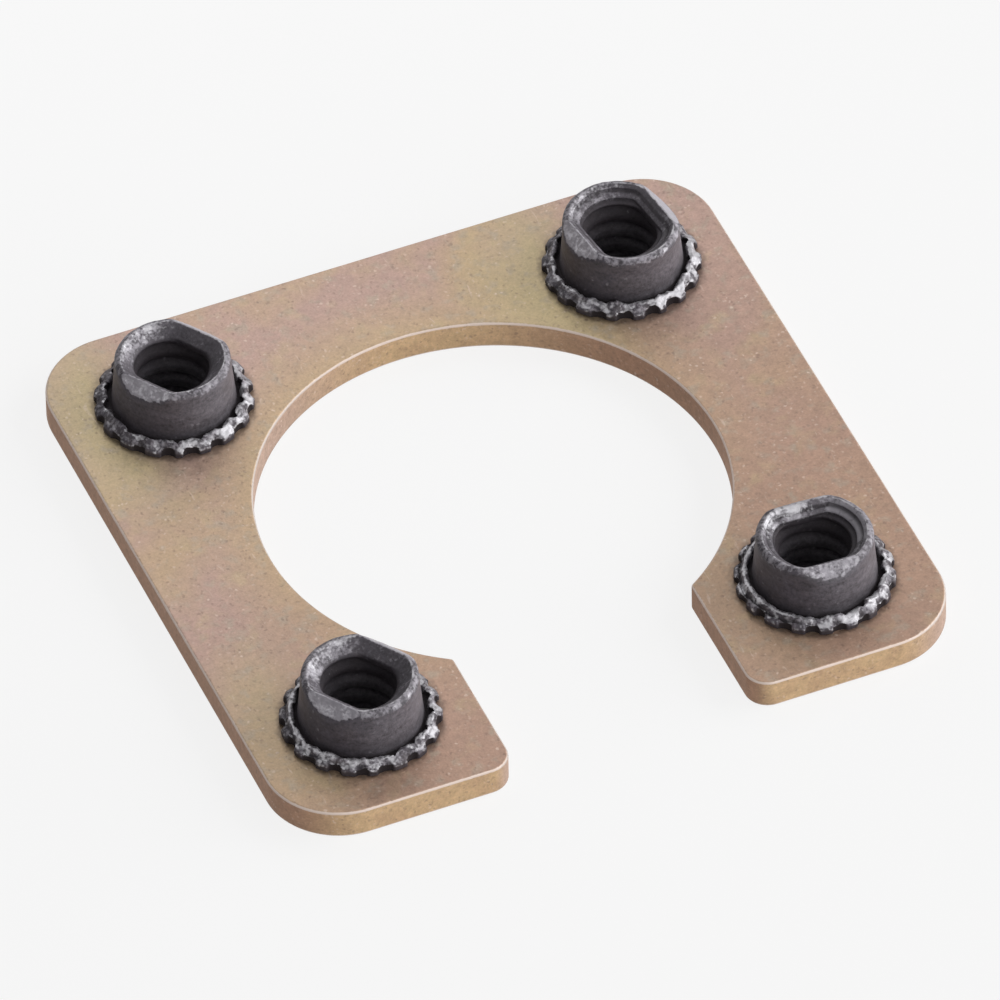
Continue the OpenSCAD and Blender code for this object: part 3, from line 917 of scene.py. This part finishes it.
def shapeCollar(own, knurl, radius, height, degrees, spot):
    # notches, pockets and uneven teeth, how they are rubbed, partly as a painted highlight towards the lamps,
    # and painted shade in their hollows
    s, w = nutShape, nutWear
    turned = degrees - own["notches"]
    # bare steel gathers on the side facing the lamps: partly wear, partly a painted highlight
    facing = turnedTo(degrees, s["rubbedAndLitSide"])
    rubbedAndLit = own["awaySideRub"] + (own["litSideRub"] - own["awaySideRub"]) * smoothStep(*w["litTurns"], facing)
    valley = own["valley"] * (1 - smoothStep(*w["valleyTurns"], facing))
    outer = s["collarRadius"] - s["notchDepth"] * cutDepth(knurl["notches"], turned, radius, True)
    pocket = cutDepth(knurl["pockets"], turned - s["pocketTurn"], radius, False)
    inner = ridgeInner + s["pocketDepth"] * (1 - w["pocketFill"] * valley) * pocket
    inner = min(inner, outer - s["thinnestTooth"])
    gap = 1 - abs(2 * ((turned / toothStep + 0.5) % 1.0) - 1)  # 1 between two teeth, 0 on the middle of a tooth
    gap = smoothStep(0.45, 1.0, gap) * smoothStep(s["crestRadius"], s["collarRadius"] - 0.1, radius)
    ridge = smoothStep(ridgeInner - 0.08, ridgeInner, radius)
    rise = (height - sheetTop) / s["crestHeight"]
    crest = bell(radius - s["crestRadius"] + 0.02, 0.05)
    rim = bell(radius - outer, 0.035) * smoothStep(0.3, 0.55, rise)
    under = 1 - smoothStep(0.30, 0.55, rise)  # below the top edge of the collar
    inNotch = smoothStep(-0.01, 0.03, radius - outer)
    inPocket = smoothStep(-0.01, 0.03, inner - radius)
    hollow = valley * bell(radius - s["valleyRadius"], 0.045)
    # shape
    height -= s["valleyDepth"] * hollow
    if radius > outer:
        radius = outer
    elif ridgeInner - 0.03 < radius < inner:
        radius = inner
        height = min(height, collarSlope(inner) - 0.02)
    lift = toothLift(knurl["lifts"], turned) - w["toothDrop"] - w["gapDrop"] * gap
    lump, dent, grain = (noise.noise(spot * w[kind]["scale"]) for kind in ("lump", "dent", "grain"))
    for value, kind in ((lump, w["lump"]), (dent, w["dent"]), (grain, w["grain"])):
        radius += kind["out"] * value * rise * ridge
        lift -= kind["down"] * value
    height += rise * ridge * lift
    # wear, partly a painted highlight towards the lamps, and painted shade in the hollows
    tops, onCrest, onRim, paintedShadeBy = w["tops"], w["crest"], w["rim"], w["paintedShadeBy"]
    topBare = (tops["start"] + tops["rubbedAndLit"] * rubbedAndLit + tops["lump"] * lump + tops["dent"] * dent
               + tops["gap"] * gap)
    crestBare = (onCrest["start"] + onCrest["rubbedAndLit"] * rubbedAndLit + onCrest["valley"] * valley
                 + (onCrest["dent"] + onCrest["dentInValley"] * valley) * dent)
    rimBare = onRim["start"] + onRim["rubbedAndLit"] * rubbedAndLit + onRim["dent"] * dent
    bareAndGlintShare = max(smoothStep(0.45, 0.70, rise) * ridge * topBare, crest * crestBare, rim * rimBare)
    bareAndGlintShare *= (1 - w["shelter"] * inNotch) * (1 - w["shelter"] * inPocket)
    scuffAndLight = w["topScuff"] * smoothStep(0.4, 0.7, rise) * ridge
    # painted shade in the collar's recesses and below its top edge
    paintedShade = max(paintedShadeBy["groove"] * (1 - ridge), inNotch, paintedShadeBy["hollow"] * hollow, paintedShadeBy["gap"] * gap,
                   paintedShadeBy["pocket"] * inPocket, paintedShadeBy["under"] * under)
    return radius, height, (bareAndGlintShare, scuffAndLight, paintedShade, 0.0)


def shapeBore(own, radius, height, degrees, spot):
    # funnel with its ledges, and the thread below it; painted light on the funnel's lit side and low in the
    # bore, painted shade in the bore and painted shadow under the ledges
    s, w = nutShape, nutWear
    deep = nutTop - height
    blend = s["ledgeBlend"]
    step = sum(smoothStep(start, start + blend, deep) - smoothStep(end, end + blend, deep)
               for start, end in s["ledges"])
    radius += threadRise(height, degrees) + own["ledge"] * step
    funnel = 1 - smoothStep(s["funnelDepth"] - 0.14, s["funnelDepth"] - 0.02, deep)
    # the funnel's far wall faces the lamps and is made paler: painted light
    farSide = smoothStep(*w["sideTurns"], turnedTo(degrees, s["litFunnelSide"]))
    nearSide = smoothStep(*w["sideTurns"], turnedTo(degrees, s["paleSide"]))
    patch = noise.noise(spot * w["funnelScale"])
    scuff = w["funnelScuff"]
    scuffAndLight = funnel * (scuff["start"] + scuff["far"] * farSide + own["pale"] * nearSide
                         + scuff["noise"] * patch)
    bareAndGlintShare = funnel * (w["funnelBare"] * smoothStep(-0.1, 0.5, patch) + own["gleam"] * farSide)
    bareAndGlintShare += w["mouthGlint"] * farSide * smoothStep(*w["mouthDepths"], deep)
    # the thread low in the bore turns paler and is not darkened: painted light
    below = smoothStep(*w["litThread"], deep)
    thinAndLitShare = max(below, w["funnelThin"] * funnel)
    # painted shade inside the bore, and painted shadow lines under the ledges
    paintedShade = smoothStep(s["funnelDepth"] - 0.14, s["funnelDepth"] + 0.02, deep) * (1 - below)
    paintedShade = max(w["boreShade"] * paintedShade, w["ledgeShadow"] * own["ledge"] * step)
    height -= funnel * w["chip"]["deep"] * (1 + noise.noise(spot * w["chip"]["scale"]))
    return radius, height, (bareAndGlintShare, scuffAndLight, paintedShade, thinAndLitShare)


def shapeBarrel(radius, height, degrees, spot):
    # outside of the barrel, rubbed towards its rim, with painted light on the side facing the lamps and painted
    # shade towards its foot
    w = nutWear
    rimming = smoothStep(nutTop - 0.3, nutTop - 0.03, height)
    facing = turnedTo(degrees, nutShape["rubbedAndLitSide"])
    ripple = noise.noise(spot * w["ripple"]["scale"])
    radius += w["barrel"]["out"] * noise.noise(spot * w["barrel"]["scale"])
    radius += w["ripple"]["out"] * rimming * ripple
    height -= rimming * w["chip"]["deep"] * (1 + noise.noise(spot * w["chip"]["scale"]))
    lip = 1 - smoothStep(0.0, w["lipWidth"], radius - lipRadius)
    # the rim's bare steel leans to the side facing the lamps as a painted glint
    bareAndGlintShare = (w["rimBare"] + w["rimGlintFacing"] * facing) * rimming * smoothStep(-0.2, 0.6, ripple)
    # painted shade low on the barrel, where the collar hides it
    paintedShade = w["baseShade"] * smoothStep(*w["baseHeights"], height - sheetTop)
    # the film turns lighter towards the lamps as painted light
    thinAndLitShare = smoothStep(*w["litSideTurns"], facing)
    return radius, height, (bareAndGlintShare + w["lipBare"] * lip, w["rimScuff"] * rimming, paintedShade, thinAndLitShare)


def shapeNut(nut, name, seed):
    s, w = nutShape, nutWear
    own = nutTurns[name]
    draw = random.Random(seed)
    centre = nutCentre(name) / mm
    knurl = {"notches": cutRing(draw, s["notchHalf"]), "pockets": cutRing(draw, s["pocketHalf"])}
    knurl["lifts"] = [(draw.uniform(*w["toothLifts"]), draw.uniform(*w["toothLeans"]))
                      for tooth in range(s["teeth"])]
    layers = ("bareAndGlint", "scuff", "deep", "thinAndLit")
    for layer in layers:
        nut.data.attributes.new(layer, "FLOAT", "POINT")
    marks = [nut.data.attributes[layer].data for layer in layers]
    drift = Vector((seed * 7.3, seed * 3.1, 0))  # so that no two nuts have the same noise
    turn = math.radians(own["flats"])
    for vertex in nut.data.vertices:
        place = vertex.co / mm
        rowRadius, rowHeight = place.xy.length, place.z
        degrees = math.degrees(math.atan2(place.y, place.x))
        spot = place + drift
        onCollar = rowRadius > s["barrelRadius"] + 0.03 and rowHeight > sheetTop
        inside = rowRadius < innerStart
        row = (rowRadius, rowHeight, degrees, spot)
        if onCollar:
            radius, height, wear = shapeCollar(own, knurl, *row)
        elif inside:
            radius, height, wear = shapeBore(own, *row)
        else:
            radius, height, wear = shapeBarrel(*row)
        bareAndGlintShare, scuffAndLight, paintedShade, thinAndLitShare = wear
        # crimp
        angle = math.radians(degrees) - turn
        if not onCollar:
            radius += own["swell"] * smoothStep(s["swellDepth"], 0.0, nutTop - rowHeight) * math.cos(angle) ** 2
        along, across = radius * math.cos(angle), radius * math.sin(angle)
        if height > sheetTop + s["crimpStart"] and not onCollar:
            softness = s["throatSoft"] if inside else s["flatSoft"]
            squeezed = softMin(abs(across), crimpLimit(rowRadius, rowHeight), softness)
            if not inside:
                pressed = smoothStep(*w["pressedDepths"], abs(across) - squeezed)
                scuffAndLight = max(scuffAndLight, own["scuff"] * pressed)
                bareAndGlintShare = max(bareAndGlintShare, own["chips"] * pressed)
                squeezed += w["flat"]["out"] * pressed * noise.noise(spot * w["flat"]["scale"])
            across = math.copysign(squeezed, across)
        x = along * math.cos(turn) - across * math.sin(turn)
        y = along * math.sin(turn) + across * math.cos(turn)
        vertex.co = Vector((centre.x + x, centre.y + y, height)) * mm
        for mark, value in zip(marks, (bareAndGlintShare, scuffAndLight, paintedShade, thinAndLitShare)):
            mark[vertex.index].value = value


def makeNuts():
    blank = turnBlank()
    nuts = []
    for seed, name in enumerate(nutNames, 1):
        activate(blank)
        bpy.ops.object.duplicate(linked=False)
        nut = bpy.context.object
        nut.name = name + "_turned"
        shapeNut(nut, name, seed)
        nut.data.materials.clear()
        nut.data.materials.append(coating)
        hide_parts(name)
        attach(nut, "root")
        nuts.append(nut)
    bpy.data.objects.remove(blank)
    return nuts


nuts = makeNuts()
print("nuts made,", len(nuts[0].data.polygons), "faces each")


# floor, soft light and white surroundings
stageLook = {
    "floorSize": 4.0,
    "floorDrop": 0.02 * mm,
    "floorWhite": (0.50, 0.50, 0.50, 1),
    "floorShown": 0.84,  # what the camera sees of the floor without light
    "floorShadowUnderNut": 0.06,  # the same where a nut stands over it: a painted shadow, seen through the bore
    "nutShadowReach": (2.2 * mm, 2.6 * mm),
    "floorShaded": (0.13, 0.13, 0.13, 1),
    "skyLevel": 0.12,
    "skyShown": 0.97,
}
lamps = {  # direction from the plate's middle, distance, size and power in watts
    "side": {"towards": (0.91, -0.12, 0.32), "distance": 0.40, "size": 0.42, "power": 2.02},
    "over": {"towards": (0.04, 0.78, 0.63), "distance": 0.065, "size": 0.05, "power": 0.0080},
    "front": {"towards": (0.25, -0.94, 0.24), "distance": 0.40, "size": 0.36, "power": 1.0},
}


def seenDirectly(tree):
    path = tree.nodes.new("ShaderNodeLightPath").outputs
    seen = calc(tree, "MAXIMUM", path["Is Camera Ray"], path["Is Glossy Ray"])
    return calc(tree, "MAXIMUM", seen, path["Is Transmission Ray"])


def makeFloor():
    bpy.ops.object.select_all(action="DESELECT")
    bpy.ops.mesh.primitive_plane_add(size=stageLook["floorSize"],
                                     location=(0, 0, -stageLook["floorDrop"]))
    floor = bpy.context.object
    floor.name = "floor"
    bpy.ops.object.transform_apply(location=True, rotation=True, scale=True)
    material = bpy.data.materials.new("floorWhite")
    material.use_nodes = True
    tree = material.node_tree
    tree.nodes.clear()
    plain = addNode(tree, "ShaderNodeBsdfDiffuse", {"Color": stageLook["floorWhite"]})
    shown = tree.nodes.new("ShaderNodeEmission")
    # under each nut the floor's glow is cut to a painted shadow
    fromNut = fromNearestNut(tree, vector(tree, "MULTIPLY", objectPlace(tree), (1, 1, 0)))
    level = remap(tree, fromNut, *stageLook["nutShadowReach"], stageLook["floorShadowUnderNut"], stageLook["floorShown"])
    wire(tree, level, shown.inputs["Strength"])
    shaded = addNode(tree, "ShaderNodeBsdfDiffuse", {"Color": stageLook["floorShaded"]})
    both = tree.nodes.new("ShaderNodeAddShader")
    wire(tree, shown.outputs[0], both.inputs[0])
    wire(tree, shaded.outputs[0], both.inputs[1])
    mixed = tree.nodes.new("ShaderNodeMixShader")
    wire(tree, seenDirectly(tree), mixed.inputs[0])
    wire(tree, plain.outputs[0], mixed.inputs[1])
    wire(tree, both.outputs[0], mixed.inputs[2])
    wire(tree, mixed.outputs[0], tree.nodes.new("ShaderNodeOutputMaterial").inputs["Surface"])
    floor.data.materials.append(material)


def makeSky():
    world = bpy.data.worlds.new("studio")
    bpy.context.scene.world = world
    world.use_nodes = True
    tree = world.node_tree
    tree.nodes.clear()
    sky = addNode(tree, "ShaderNodeBackground", {"Color": (1, 1, 1, 1)})
    level = remap(tree, seenDirectly(tree), 0, 1, stageLook["skyLevel"], stageLook["skyShown"])
    wire(tree, level, sky.inputs["Strength"])
    wire(tree, sky.outputs[0], tree.nodes.new("ShaderNodeOutputWorld").inputs["Surface"])


def hangLamp(name, towards, distance, size, power):
    bpy.ops.object.light_add(type="AREA")
    lamp = bpy.context.object
    lamp.name = name
    lamp.data.size = size
    lamp.data.energy = power
    lamp.visible_camera = False
    away = Vector(towards).normalized()
    turn = away.to_track_quat("Z", "Y").to_matrix().to_4x4()
    lamp.matrix_world = Matrix.Translation(away * distance) @ turn


makeFloor()
makeSky()
for lampName, lampLook in lamps.items():
    hangLamp(lampName, **lampLook)
bpy.context.scene.view_settings.view_transform = "Standard"
print("stage set")
